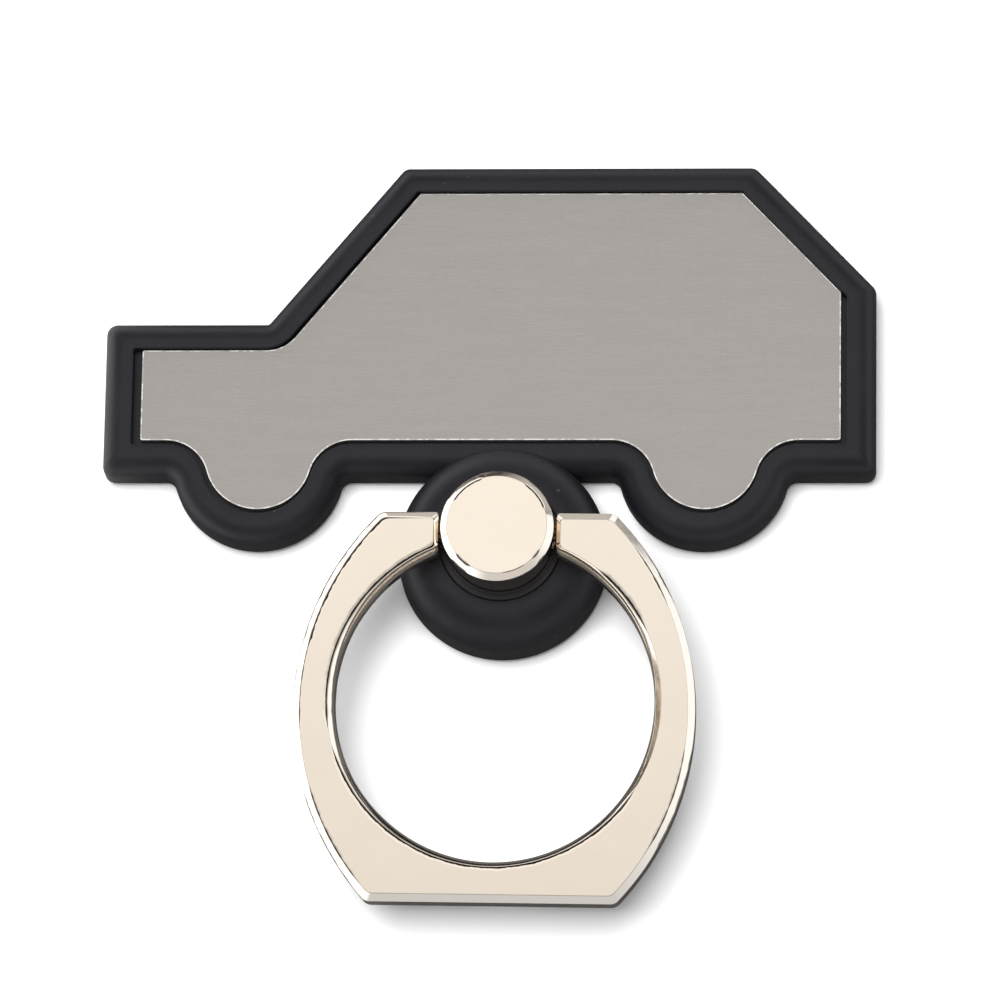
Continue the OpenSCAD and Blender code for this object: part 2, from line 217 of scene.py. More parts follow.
def blended_loop(runs: Sequence[Loop], counts: Sequence[int], trims: Sequence[float],
                 steps: int) -> Loop:
    """Joins open runs into one closed loop with a small round at each corner.

    Args:
        runs: the runs in order, each ending where the next one starts.
        counts: number of chords that each run is given.
        trims: length cut off at the end of each run and the start of the next one.
        steps: number of chords in each round.

    Returns:
        The points of the closed loop.
    """
    cut = [
        resampled(trimmed(trimmed(run, trims[k - 1], False), trims[k], True), count)
        for k, (run, count) in enumerate(zip(runs, counts))
    ]
    loop: Loop = []
    for trim, here, after in zip(trims, cut, cut[1:] + cut[:1]):
        loop.extend(here)
        start, end = here[-1], after[0]
        reach = ROUND_HANDLE * trim
        a = start + (here[-1] - here[-2]).normalized() * reach
        b = end - (after[1] - after[0]).normalized() * reach
        for k in range(1, steps):
            t = k / steps
            loop.append(start * (1 - t) ** 3 + a * (3 * t * (1 - t) ** 2)
                        + b * (3 * t * t * (1 - t)) + end * t**3)
    return loop


# Mesh building


def lifted(point: Vector, height: float) -> Vector:
    """A point of the plan at a height, from millimetres to metres."""
    return Vector((point.x, point.y, height)) * MM


def circle(radius: float, height: float, steps: int) -> Loop:
    """A round row of points about the swivel axis, from millimetres to metres."""
    turns = (2 * math.pi * k / steps for k in range(steps))
    return [Vector((radius * math.cos(a), radius * math.sin(a), height)) * MM for a in turns]


def face_outwards(obj: Piece) -> Piece:
    """Cleans a mesh and points its faces outwards.

    Args:
        obj: the piece, changed in place.

    Returns:
        The same piece.
    """
    mesh = bmesh.new()
    mesh.from_mesh(obj.data)
    bmesh.ops.remove_doubles(mesh, verts=mesh.verts, dist=WELD)
    bmesh.ops.dissolve_degenerate(mesh, edges=mesh.edges, dist=SLIVER)
    bmesh.ops.recalc_face_normals(mesh, faces=mesh.faces)
    mesh.to_mesh(obj.data)
    mesh.free()
    return obj


def finish_mesh(obj: Piece) -> Piece:
    """Cleans a mesh, points its faces outwards and shades it smooth with sharp creases.

    Args:
        obj: the piece, changed in place.

    Returns:
        The same piece.
    """
    face_outwards(obj)
    obj.data.polygons.foreach_set("use_smooth", [True] * len(obj.data.polygons))
    obj.data.set_sharp_from_angle(angle=SHARP_ANGLE)
    obj.data.update()
    return obj


def lofted(name: str, rows: Sequence[Loop], cap: Cap = Cap.NONE) -> Piece:
    """Skins closed rows of points into a mesh.

    Args:
        name: name of the object.
        rows: closed rows with equal counts, in metres; with Cap.NONE the last row
            joins the first.
        cap: which ends are closed with a flat face.

    Returns:
        The new object, linked to the scene.
    """
    count = len(rows[0])
    points = [point for row in rows for point in row]
    faces: list[tuple[int, ...]] = []
    bands = len(rows) if cap is Cap.NONE else len(rows) - 1
    for r in range(bands):
        low, high = r * count, (r + 1) % len(rows) * count
        for k in range(count):
            after = (k + 1) % count
            faces.append((low + k, low + after, high + after, high + k))
    if cap is Cap.BOTH:
        for start in (0, (len(rows) - 1) * count):
            ring = [points[start + k] for k in range(count)]
            faces.extend(tuple(start + k for k in tri) for tri in tessellate_polygon([ring]))
    mesh = bpy.data.meshes.new(name)
    mesh.from_pydata([tuple(p) for p in points], [], faces)
    obj = bpy.data.objects.new(name, mesh)
    bpy.context.scene.collection.objects.link(obj)
    return face_outwards(obj)


def revolved(name: str, profile: Profile, steps: int) -> Piece:
    """Turns a closed profile of (radius, height) in millimetres about the swivel axis."""
    return lofted(name, [circle(radius, height, steps) for radius, height in profile])


def combined(target: Piece, tool: Piece, join: Join) -> Piece:
    """Joins a tool to a piece, or cuts the piece with it, and removes the tool.

    Args:
        target: the piece.
        tool: what is joined or cut away.
        join: which of the two.

    Returns:
        The same piece.
    """
    modifier = target.modifiers.new("combine", "BOOLEAN")
    modifier.operation = join.value
    modifier.solver = "MANIFOLD"
    modifier.object = tool
    bpy.context.view_layer.update()
    result = bpy.data.meshes.new_from_object(
        target.evaluated_get(bpy.context.evaluated_depsgraph_get())
    )
    target.modifiers.clear()
    target.data = result
    bpy.data.objects.remove(tool)
    return target


# Shader nodes


@dataclass
class NodeSheet:
    """A shader node tree with short calls to add and join nodes."""

    tree: Tree

    def feed(self, socket: Socket, term: object) -> None:
        """Gives an input another node's output or a plain value.

        Args:
            socket: the input.
            term: a socket, a number, a vector or an RGB triple.
        """
        if isinstance(term, Socket):
            self.tree.links.new(term, socket)
        elif socket.type == "RGBA":
            socket.default_value = (*term, 1.0)
        else:
            socket.default_value = term

    def add(self, kind: str, **values: object) -> bpy.types.Node:
        """Adds a node and gives each value to its input or else its property of that name.

        Args:
            kind: type of the node.
            values: values or sockets by name, with underscores for the spaces.

        Returns:
            The node.
        """
        node = self.tree.nodes.new(kind)
        for key, value in values.items():
            label = key.replace("_", " ")
            if label in node.inputs:
                self.feed(node.inputs[label], value)
            else:
                setattr(node, key, value)
        return node

    def effect(self, group: Tree, **values: float) -> Sequence[Socket]:
        """Places a shared effect group with its own values, and returns its outputs."""
        return self.add("ShaderNodeGroup", node_tree=group, **values).outputs

    def math(self, operation: str, *terms: object) -> Socket:
        """Adds a Math node.

        Args:
            operation: what it does.
            terms: its inputs in order, numbers or sockets.

        Returns:
            Its output.
        """
        node = self.add("ShaderNodeMath", operation=operation)
        for socket, term in zip(node.inputs, terms):
            self.feed(socket, term)
        return node.outputs[0]

    def noise(self, vector: Socket, scale: float, detail: float, roughness: float) -> Socket:
        """Adds a noise texture and returns its value."""
        return self.add("ShaderNodeTexNoise", Vector=vector, Scale=scale, Detail=detail,
                        Roughness=roughness).outputs["Fac"]

    def ramp(self, value: Socket, low: float, high: float, out_low: float = 0.0,
             out_high: float = 1.0) -> Socket:
        """Maps a value from one range to another, clamped and eased.

        Args:
            value: the value.
            low: where the change starts.
            high: where it ends.
            out_low: the result at the start.
            out_high: the result at the end.

        Returns:
            The mapped value.
        """
        return self.add("ShaderNodeMapRange", interpolation_type="SMOOTHSTEP", Value=value,
                        From_Min=low, From_Max=high, To_Min=out_low,
                        To_Max=out_high).outputs["Result"]

    def mix(self, share: Socket, first: object, second: object,
            what: Mixed = Mixed.COLOUR) -> Socket:
        """Mixes two colours or two values, each a socket or plain.

        Args:
            share: share of the second.
            first: the first.
            second: the second.
            what: whether they are colours or values.

        Returns:
            The mixture.
        """
        data_type, places, out = what.value
        node = self.add("ShaderNodeMix", data_type=data_type)
        for place, term in zip(places, (share, first, second)):
            self.feed(node.inputs[place], term)
        return node.outputs[out]

    def axes(self, vector: Socket) -> Sequence[Socket]:
        """The three components of a vector."""
        return self.add("ShaderNodeSeparateXYZ", Vector=vector).outputs


def new_group(name: str, inputs: dict[str, float],
              outputs: Sequence[str]) -> tuple[NodeSheet, Sequence[Socket], Sequence[Socket]]:
    """Starts a shader node group with float sockets.

    Args:
        name: name of the group.
        inputs: input names and their defaults.
        outputs: output names.

    Returns:
        Its sheet, the sockets that give its inputs and those that take its outputs.
    """
    tree = bpy.data.node_groups.new(name, "ShaderNodeTree")
    for label, value in inputs.items():
        socket = tree.interface.new_socket(label, in_out="INPUT", socket_type="NodeSocketFloat")
        socket.default_value = value
    for label in outputs:
        tree.interface.new_socket(label, in_out="OUTPUT", socket_type="NodeSocketFloat")
    sheet = NodeSheet(tree)
    return sheet, sheet.add("NodeGroupInput").outputs, sheet.add("NodeGroupOutput").inputs


def grain_place(sheet: NodeSheet, size: Socket, stretch: Triple = (1, 1, 1)) -> Socket:
    """Object coordinates divided by a size, so that 1 is one grain.

    Args:
        sheet: the node tree.
        size: size of a grain in metres.
        stretch: scale along each axis.

    Returns:
        The coordinates.
    """
    place = sheet.add("ShaderNodeTexCoord").outputs["Object"]
    scale = sheet.add("ShaderNodeVectorMath", operation="SCALE", Vector=place,
                      Scale=sheet.math("DIVIDE", 1.0, size))
    shape = sheet.add("ShaderNodeVectorMath", operation="MULTIPLY", Vector=scale.outputs[0])
    shape.inputs[1].default_value = stretch
    return shape.outputs[0]


@dataclass(frozen=True)
class NoiseLayer:
    """One noise of a surface effect.

    Attributes:
        detail: how many finer noises are added to it.
        roughness: how strong those are.
        window: the part of its range that is spread over 0 to 1, or None for all of it.
        stretch: scale along each axis; a value below 1 draws the grain out.
    """

    detail: float
    roughness: float
    window: Span | None = None
    stretch: Triple = (1, 1, 1)

    def value(self, sheet: NodeSheet, size: Socket) -> Socket:
        """Adds the noise.

        Args:
            sheet: the node tree.
            size: size of a grain in metres.

        Returns:
            Its value.
        """
        place = grain_place(sheet, size, self.stretch)
        noise = sheet.noise(place, 1.0, self.detail, self.roughness)
        return sheet.ramp(noise, *self.window) if self.window else noise


def layered_group(name: str, sizes: dict[str, float],
                  layers: dict[str, tuple[str, NoiseLayer]]) -> Tree:
    """Builds a shader node group whose outputs are noises.

    Args:
        name: name of the group.
        sizes: its inputs, each a size in metres, and their defaults.
        layers: for each output the input that sizes it, and its noise.

    Returns:
        The group.
    """
    sheet, given, out = new_group(name, sizes, tuple(layers))
    for label, (size, layer) in layers.items():
        sheet.feed(out[label], layer.value(sheet, given[size]))
    return sheet.tree


def moulded_grain() -> Tree:
    """Fine spark-eroded grain of a moulded face: Height and a slow Patch value."""
    return layered_group("moulded_grain", {"Grain Size": 0.00012, "Patch Size": 0.006}, {
        "Height": ("Grain Size", NoiseLayer(3, 0.6, window=(0.3, 0.7))),
        "Patch": ("Patch Size", NoiseLayer(3, 0.55, window=(0.3, 0.7))),
    })


def brushed_lines() -> Tree:
    """Lines of a face brushed along X: fine Lines, broad Bands and rare Scratches."""
    return layered_group("brushed_lines", {"Line Width": 0.00008, "Band Width": 0.0007}, {
        "Lines": ("Line Width", NoiseLayer(4, 0.65, (0.25, 0.75), stretch=(0.07, 1, 1))),
        "Bands": ("Band Width", NoiseLayer(3, 0.6, (0.25, 0.75), stretch=(0.12, 1, 1))),
        "Scratches": ("Line Width", NoiseLayer(1, 0.5, (0.72, 0.82), stretch=(0.008, 0.7, 1))),
    })


def plating_ripple() -> Tree:
    """Slight waviness of polished and plated metal: a broad Wave and a tight Pit value."""
    return layered_group("plating_ripple", {"Wave Size": 0.004, "Pit Size": 0.0004}, {
        "Wave": ("Wave Size", NoiseLayer(2, 0.4)),
        "Pit": ("Pit Size", NoiseLayer(2, 0.5, window=(0.35, 0.75))),
    })


def fine_dust(clean_share: float = 0.55) -> Tree:
    """A few pale specks of dust as a Mask.

    Args:
        clean_share: share of the places without a speck.

    Returns:
        The group.
    """
    sheet, given, out = new_group("fine_dust", {"Spacing": 0.0016, "Speck Size": 0.06}, ("Mask",))
    cells = sheet.add("ShaderNodeTexVoronoi", Scale=1.0,
                      Vector=grain_place(sheet, given["Spacing"])).outputs
    speck = sheet.math("LESS_THAN", cells["Distance"], given["Speck Size"])
    pick = sheet.add("ShaderNodeSeparateColor", Color=cells["Color"]).outputs[0]
    some = sheet.math("GREATER_THAN", pick, clean_share)
    sheet.feed(out["Mask"], sheet.math("MULTIPLY", speck, some))
    return sheet.tree


@dataclass(frozen=True)
class EffectGroups:
    """The shared surface effects, each a node group built once."""

    grain: Tree = field(default_factory=moulded_grain)
    lines: Tree = field(default_factory=brushed_lines)
    ripple: Tree = field(default_factory=plating_ripple)
    dust: Tree = field(default_factory=fine_dust)


# Finishes


@dataclass(frozen=True)
class Finish:
    """A procedural finish; each kind wires its own colour, roughness and relief.

    Attributes:
        name: name of the material.
        roughness: middle of its roughness.
        spread: how much the roughness varies over the surface.
        depth: depth of its relief in metres.
        metallic: 1 for metal, else 0.
        gloss: strength of its plain reflection.
    """

    name: str
    roughness: float
    spread: float
    depth: float
    metallic: float = 0.0
    gloss: float = 0.5

    def wire(self, sheet: NodeSheet, groups: EffectGroups) -> Wiring:
        """Wires what changes over the surface.

        Args:
            sheet: the material's nodes.
            groups: the shared effects.

        Returns:
            The colour, the roughness and the height of the relief.
        """
        raise NotImplementedError

    def varied(self, sheet: NodeSheet, mask: Socket) -> Socket:
        """The roughness as it varies with a mask."""
        return sheet.math("MULTIPLY_ADD", mask, self.spread, self.roughness - self.spread / 2)

    def material(self, groups: EffectGroups) -> bpy.types.Material:
        """Builds the material.

        Args:
            groups: the shared effects.

        Returns:
            The material.
        """
        material = bpy.data.materials.new(self.name)
        material.use_nodes = True
        sheet = NodeSheet(material.node_tree)
        shader = material.node_tree.nodes["Principled BSDF"]
        colour, roughness, height = self.wire(sheet, groups)
        bump = sheet.add("ShaderNodeBump", Strength=1.0, Distance=self.depth, Height=height)
        sheet.feed(shader.inputs["Base Color"], colour)
        sheet.feed(shader.inputs["Roughness"], roughness)
        sheet.feed(shader.inputs["Normal"], bump.outputs[0])
        shader.inputs["Metallic"].default_value = self.metallic
        shader.inputs["Specular IOR Level"].default_value = self.gloss
        return material


@dataclass(frozen=True)
class MouldedFinish(Finish):
    """Satin moulded plastic with a fine grain and a little dust."""

    roughness: float = 0.46
    spread: float = 0.08
    depth: float = 0.000004
    gloss: float = 0.46
    colour: Triple = (0.0076, 0.0070, 0.0094)
    pale: Triple = (0.0108, 0.0100, 0.0128)
    grain_size: float = 0.00014
    dust_colour: Triple = (0.03, 0.03, 0.033)
    dust_spacing: float = 0.0022

    def wire(self, sheet: NodeSheet, groups: EffectGroups) -> Wiring:
        """Wires what changes over the surface.

        Args:
            sheet: the material's nodes.
            groups: the shared effects.

        Returns:
            The colour, the roughness and the height of the relief.
        """
        grain = sheet.effect(groups.grain, Grain_Size=self.grain_size)
        dust = sheet.effect(groups.dust, Spacing=self.dust_spacing)
        tone = sheet.mix(grain["Patch"], self.colour, self.pale)
        return (sheet.mix(dust["Mask"], tone, self.dust_colour),
                self.varied(sheet, grain["Patch"]), grain["Height"])


@dataclass(frozen=True)
class BrushedFinish(Finish):
    """Long-grain brushed stainless sheet; its cut edge is smooth and bright.

    Attributes:
        band_share: share of the broad bands in the tone, the rest is fine lines.
        scratched: how strong the rare scratches are.
        cut_pits: size of the breaks in the bright edge, in metres.
        cut_breaks: pit values between which the bright edge grows from cut_least to whole.
        flat: faces whose normal points less upwards than this are the cut edge.
    """

    roughness: float = 0.42
    spread: float = 0.12
    depth: float = 0.000002
    metallic: float = 1.0
    dark: Triple = (0.57, 0.537, 0.505)
    light: Triple = (0.76, 0.715, 0.672)
    band_share: float = 0.12
    scratch: Triple = (0.86, 0.82, 0.78)
    scratched: float = 0.4
    cut: Triple = (0.95, 0.92, 0.88)
    cut_roughness: float = 0.14
    cut_pits: float = 0.0005
    cut_breaks: Span = (0.1, 0.5)
    cut_least: float = 0.35
    flat: float = 0.9993

    def wire(self, sheet: NodeSheet, groups: EffectGroups) -> Wiring:
        """Wires what changes over the surface.

        Args:
            sheet: the material's nodes.
            groups: the shared effects.

        Returns:
            The colour, the roughness and the height of the relief.
        """
        lines = sheet.effect(groups.lines)
        both = sheet.math("ADD", sheet.math("MULTIPLY", lines["Lines"], 1 - self.band_share),
                          sheet.math("MULTIPLY", lines["Bands"], self.band_share))
        rare = sheet.math("MULTIPLY", lines["Scratches"], self.scratched)
        tone = sheet.mix(rare, sheet.mix(both, self.dark, self.light), self.scratch)
        cut = self.cut_edge(sheet, groups)
        smooth = sheet.math("MULTIPLY", cut, self.roughness - self.cut_roughness)
        return (sheet.mix(cut, tone, self.cut),
                sheet.math("SUBTRACT", self.varied(sheet, lines["Lines"]), smooth),
                lines["Lines"])

    def cut_edge(self, sheet: NodeSheet, groups: EffectGroups) -> Socket:
        """Mask of the bright sheared edge, broken here and there.

        Args:
            sheet: the material's nodes.
            groups: the shared effects.

        Returns:
            The mask.
        """
        normal = sheet.add("ShaderNodeNewGeometry").outputs["True Normal"]
        tilted = sheet.math("LESS_THAN", sheet.axes(normal)["Z"], self.flat)
        broken = sheet.effect(groups.ripple, Pit_Size=self.cut_pits)["Pit"]
        whole = sheet.ramp(broken, *self.cut_breaks, self.cut_least, 1.0)
        return sheet.math("MULTIPLY", tilted, whole)


@dataclass(frozen=True)
class PlatedFinish(Finish):
    """Bright plated metal, slightly wavy."""

    roughness: float = 0.07
    spread: float = 0.03
    depth: float = 0.00001
    metallic: float = 1.0
    colour: Triple = (0.95, 0.85, 0.73)
    deep: Triple = (0.94, 0.83, 0.70)

    def wire(self, sheet: NodeSheet, groups: EffectGroups) -> Wiring:
        """Wires what changes over the surface.

        Args:
            sheet: the material's nodes.
            groups: the shared effects.

        Returns:
            The colour, the roughness and the height of the relief.
        """
        ripple = sheet.effect(groups.ripple)
        return (sheet.mix(ripple["Wave"], self.colour, self.deep),
                self.varied(sheet, ripple["Pit"]), ripple["Wave"])


@dataclass(frozen=True)
class FoamFinish(Finish):
    """Closed-cell foam tape with small open pores on its cut edge."""

    roughness: float = 0.85
    spread: float = 0.1
    depth: float = 0.00004
    colour: Triple = (0.05, 0.05, 0.052)
    pale: Triple = (0.085, 0.085, 0.09)
    pore_size: float = 0.00035
    patch_size: float = 0.003

    def wire(self, sheet: NodeSheet, groups: EffectGroups) -> Wiring:
        """Wires what changes over the surface.

        Args:
            sheet: the material's nodes.
            groups: the shared effects.

        Returns:
            The colour, the roughness and the height of the relief.
        """
        grain = sheet.effect(groups.grain, Grain_Size=self.pore_size, Patch_Size=self.patch_size)
        return (sheet.mix(grain["Height"], self.colour, self.pale),
                self.varied(sheet, grain["Patch"]), grain["Height"])


@dataclass(frozen=True)
class FilmFinish(Finish):
    """Siliconised paper film with faint fibres."""

    roughness: float = 0.37
    spread: float = 0.1
    depth: float = 0.000006
    colour: Triple = (0.86, 0.84, 0.78)
    pale: Triple = (0.92, 0.91, 0.87)
    grain_size: float = 0.0003
    patch_size: float = 0.008
    fibre_width: float = 0.00012
    fibre_share: float = 0.4

    def wire(self, sheet: NodeSheet, groups: EffectGroups) -> Wiring:
        """Wires what changes over the surface.

        Args:
            sheet: the material's nodes.
            groups: the shared effects.

        Returns:
            The colour, the roughness and the height of the relief.
        """
        grain = sheet.effect(groups.grain, Grain_Size=self.grain_size, Patch_Size=self.patch_size)
        lines = sheet.effect(groups.lines, Line_Width=self.fibre_width)
        fibres = sheet.math("MULTIPLY", lines["Lines"], self.fibre_share)
        tone = sheet.math("MULTIPLY_ADD", grain["Patch"], 1 - self.fibre_share, fibres)
        return (sheet.mix(tone, self.colour, self.pale),
                self.varied(sheet, grain["Patch"]), grain["Height"])


@dataclass(frozen=True)
class TurnedFinish(Finish):
    """Turned, zinc-plated steel of the fittings; dark brown on the pins paints the gap's shade."""

    roughness: float = 0.32
    spread: float = 0.12
    depth: float = 0.000004
    metallic: float = 1.0
    colour: Triple = (0.52, 0.52, 0.54)
    light: Triple = (0.66, 0.66, 0.67)
    wave_size: float = 0.0012
    pit_size: float = 0.00012

    def wire(self, sheet: NodeSheet, groups: EffectGroups) -> Wiring:
        """Wires what changes over the surface.

        Args:
            sheet: the material's nodes.
            groups: the shared effects.

        Returns:
            The colour, the roughness and the height of the relief.
        """
        pits = sheet.effect(groups.ripple, Wave_Size=self.wave_size, Pit_Size=self.pit_size)["Pit"]
        return sheet.mix(pits, self.colour, self.light), self.varied(sheet, pits), pits


# Sub-assemblies


@dataclass(frozen=True)
class CarOutline:
    """The outline of the housing in plan, counter-clockwise, in millimetres."""

    body_len: float = 54.1
    body_height: float = 22.6
    nose_x: float = 28.15
    sill_y: float = 5.5
    bonnet_height: float = 11.1
    roof_start: float = 20.85
    roof_len: float = 24.75
    screen_deg: float = 50.7
    tail_deg: float = 46.6
    wheel_r: float = 6.0
    wheel_rise: float = 1.0
    front_wheel: float = 10.9
    wheel_base: float = 31.2
    arch_r: float = 0.78
    cowl_r: float = 0.35
    corner_r: float = 0.75
    corner_steps: int = 12
    cowl_steps: int = 12
    wheel_steps: int = 72
    arch_steps: int = 14
    cowl: int = 5

    def corners(self) -> Loop:
        """The sharp corners of the outline.

        Returns:
            The corners in order, from the foot of the nose.
        """
        tail_x = self.body_len - self.nose_x
        roof_y = self.sill_y + self.body_height
        bonnet_y = self.sill_y + self.bonnet_height
        roof_x = self.roof_start - self.nose_x
        screen_x = roof_x - (roof_y - bonnet_y) / math.tan(math.radians(self.screen_deg))
        drop = (tail_x - roof_x - self.roof_len) * math.tan(math.radians(self.tail_deg))
        flat = [(-self.nose_x, self.sill_y), (tail_x, self.sill_y), (tail_x, roof_y - drop),
                (roof_x + self.roof_len, roof_y), (roof_x, roof_y),
                (screen_x, bonnet_y), (-self.nose_x, bonnet_y)]
        return [Vector(p) for p in flat]

    def heading(self, i: int) -> Vector:
        """Unit vector along the edge that leaves corner i."""
        c = self.corners()
        return (c[(i + 1) % len(c)] - c[i % len(c)]).normalized()

    def corner_arc(self, i: int, depth: float, radius: float) -> Loop:
        """The round at an outer corner of the outline moved inwards.

        Args:
            i: number of the corner.
            depth: how far the outline moves inwards.
            radius: radius of the round.

        Returns:
            The points of the round.
        """
        a, b = self.heading(i - 1), self.heading(i)
        tip = self.corners()[i] + depth * (left_of(a) + left_of(b)) / (1 + a.dot(b))
        turn = math.acos(a.dot(b))
        centre = tip - radius * math.tan(turn / 2) * a + radius * left_of(a)
        return arc(centre, radius, bearing(-left_of(a)), turn, self.corner_steps)

    def cowl_arc(self, depth: float) -> Loop:
        """The hollow between bonnet and windscreen.

        Args:
            depth: how far the outline moves inwards.

        Returns:
            The points of its round.
        """
        a = self.heading(self.cowl - 1)
        turn = math.acos(a.dot(self.heading(self.cowl)))
        centre = self.corners()[self.cowl] - self.cowl_r * (math.tan(turn / 2) * a + left_of(a))
        return arc(centre, self.cowl_r + depth, bearing(left_of(a)), -turn, self.cowl_steps)

    def wheel_run(self, along: float, depth: float) -> Loop:
        """A wheel with the fillets on both its sides.

        Args:
            along: distance of its middle from the nose.
            depth: how far the outline moves inwards.

        Returns:
            The points from the front to the rear.
        """
        hub = Vector((along - self.nose_x, self.sill_y + self.wheel_rise))
        rise, reach_r = self.wheel_rise + self.arch_r, self.wheel_r + self.arch_r
        reach = math.sqrt(reach_r**2 - rise**2)
        dip = math.asin(rise / reach_r)
        foot, fillet = self.sill_y - self.arch_r, self.arch_r + depth
        front = arc(Vector((hub.x - reach, foot)), fillet, QUARTER, dip - QUARTER, self.arch_steps)
        tyre = arc(hub, self.wheel_r - depth, math.pi + dip, math.pi - 2 * dip, self.wheel_steps)
        rear = arc(Vector((hub.x + reach, foot)), fillet, math.pi - dip, dip - QUARTER,
                   self.arch_steps)
        return front + tyre[1:-1] + rear

    def loop(self, depth: float, radius: float) -> Loop:
        """The whole outline moved inwards.

        Args:
            depth: how far it moves inwards.
            radius: radius left at the outer corners.

        Returns:
            The closed loop; the count is the same for every depth.
        """
        return (self.corner_arc(0, depth, radius)
                + self.wheel_run(self.front_wheel, depth)
                + self.wheel_run(self.front_wheel + self.wheel_base, depth)
                + [p for i in (1, 2, 3, 4) for p in self.corner_arc(i, depth, radius)]
                + self.cowl_arc(depth)
                + self.corner_arc(6, depth, radius))


@dataclass(frozen=True)
class Levels:
    """Heights above the back face, in millimetres."""

    back: float = 0.6
    shoulder: float = 2.15
    pocket: float = 2.7
    plate: float = 2.8
    plate_top: float = 3.3
    crest: float = 3.6
    web: float = 3.4
    boss: float = 5.5
    hub: float = 5.55
    hinge: float = 7.85
    hub_top: float = 9.95


@dataclass(frozen=True)
class CarHousing:
    """The moulded housing: car-shaped tray with a rounded rim, and the domed boss."""

    outline: CarOutline = CarOutline()
    levels: Levels = Levels()
    rim_w: float = 2.05
    rim_round: float = 1.45
    lip_round: float = 0.12
    foot_round: float = 0.2
    back_depth: float = 0.6
    inner_corner: float = 0.18
    boss_d: float = 14.6
    boss_round: float = 2.8
    flange_d: float = 8.49
    flange_t: float = 0.7
    seam_round: float = 0.09
    cavity_d: float = 10.4
    cover_d: float = 12.0
    cover_t: float = 0.6
    bush_d: float = 5.0
    turns: int = 256

    def section(self) -> Profile:
        """The rim's section.

        Returns:
            (depth, height) from the back to the pocket's floor.
        """
        lv, foot, lip = self.levels, self.foot_round, self.lip_round
        return ([(self.back_depth, lv.back), (foot + FLAT_MARGIN, lv.back)]
                + quarter_round(foot, lv.back + foot, foot, 270, 4)
                + quarter_round(self.rim_round, lv.shoulder, self.rim_round, 180, 20)
                + quarter_round(self.rim_w - lip, lv.crest - lip, lip, 90, 5)
                + [(self.rim_w, lv.pocket)])

    def tray(self) -> Piece:
        """Skins the car-shaped tray.

        Returns:
            The tray without the boss.
        """
        outer = self.outline.loop(0.0, self.outline.corner_r)
        inner = self.outline.loop(self.rim_w, self.inner_corner)
        rows = [[lifted(o.lerp(i, depth / self.rim_w), height) for o, i in zip(outer, inner)]
                for depth, height in self.section()]
        return lofted("car_housing", rows, Cap.BOTH)

    def boss(self) -> Piece:
        """Turns the hollow boss about the swivel axis.

        Returns:
            The boss.
        """
        lv, r, foot, seam = self.levels, self.boss_d / 2, self.foot_round, self.seam_round
        seat, ledge, bore = self.flange_d / 2, lv.boss - self.flange_t, self.bush_d / 2
        step, cavity, cover = lv.back + self.cover_t, self.cavity_d / 2, self.cover_d / 2
        profile = ([(bore, lv.web), (bore, ledge), (seat, ledge)]
                   + quarter_round(seat + seam, lv.boss - seam, seam, 180, 5)
                   + quarter_round(r - self.boss_round, lv.boss - self.boss_round,
                                   self.boss_round, 90, 28)
                   + quarter_round(r - foot, lv.back + foot, foot, 0, 4)
                   + [(cover, lv.back), (cover, step), (cavity, step), (cavity, lv.web)])
        return revolved("boss", profile, self.turns)

    def build(self) -> Piece:
        """Joins tray and boss and cuts the cover's step.

        Returns:
            The housing.
        """
        body = combined(self.tray(), self.boss(), Join.ADD)
        ends = (self.levels.back - OVERCUT, self.levels.back + self.cover_t)
        rows = [circle(self.cover_d / 2, height, self.turns) for height in ends]
        return finish_mesh(combined(body, lofted("step", rows, Cap.BOTH), Join.CUT))


@dataclass(frozen=True)
class InlayPlate:
    """The brushed plate in the housing's pocket."""

    outline: CarOutline = CarOutline(body_len=53.5, nose_x=27.85, front_wheel=10.6,
                                     roof_start=20.55)
    levels: Levels = Levels()
    depth: float = 2.25
    shift: Span = (0.1, 0.15)
    corner: float = 0.15
    edge: float = 0.03
    strip: float = 0.075
    fall: float = 0.004

    def build(self) -> Piece:
        """Skins the plate; a narrow strip along its edge falls away, as shearing leaves it.

        Returns:
            The plate.
        """
        lv, r, inside = self.levels, self.edge, self.edge + self.strip
        section = ([(r, lv.plate), (0.0, lv.plate + r)]
                   + quarter_round(r, lv.plate_top - self.fall - r, r, 180, 5)
                   + [(inside, lv.plate_top), (inside + FLAT_MARGIN, lv.plate_top)])
        rows = [[lifted(p + Vector(self.shift), height)
                 for p in self.outline.loop(self.depth + inset, self.corner)]
                for inset, height in section]
        return finish_mesh(lofted("brushed_plate", rows, Cap.BOTH))


@dataclass(frozen=True)
class SwivelBush:
    """The flanged bush that shows as a round seam on the boss."""

    levels: Levels = Levels()
    flange_d: float = 8.45
    flange_t: float = 0.7
    barrel_d: float = 4.96
    bore_d: float = 3.08
    edge: float = 0.09
    turns: int = 192

    def build(self) -> Piece:
        """Turns the bush.

        Returns:
            The bush.
        """
        lv, r, ledge = self.levels, self.flange_d / 2, self.levels.boss - self.flange_t
        profile = ([(self.bore_d / 2, lv.web), (self.barrel_d / 2, lv.web),
                    (self.barrel_d / 2, ledge), (r, ledge)]
                   + quarter_round(r - self.edge, lv.boss - self.edge, self.edge, 0, 5, way=1)
                   + [(self.bore_d / 2, lv.boss)])
        return finish_mesh(revolved("bush_flange", profile, self.turns))


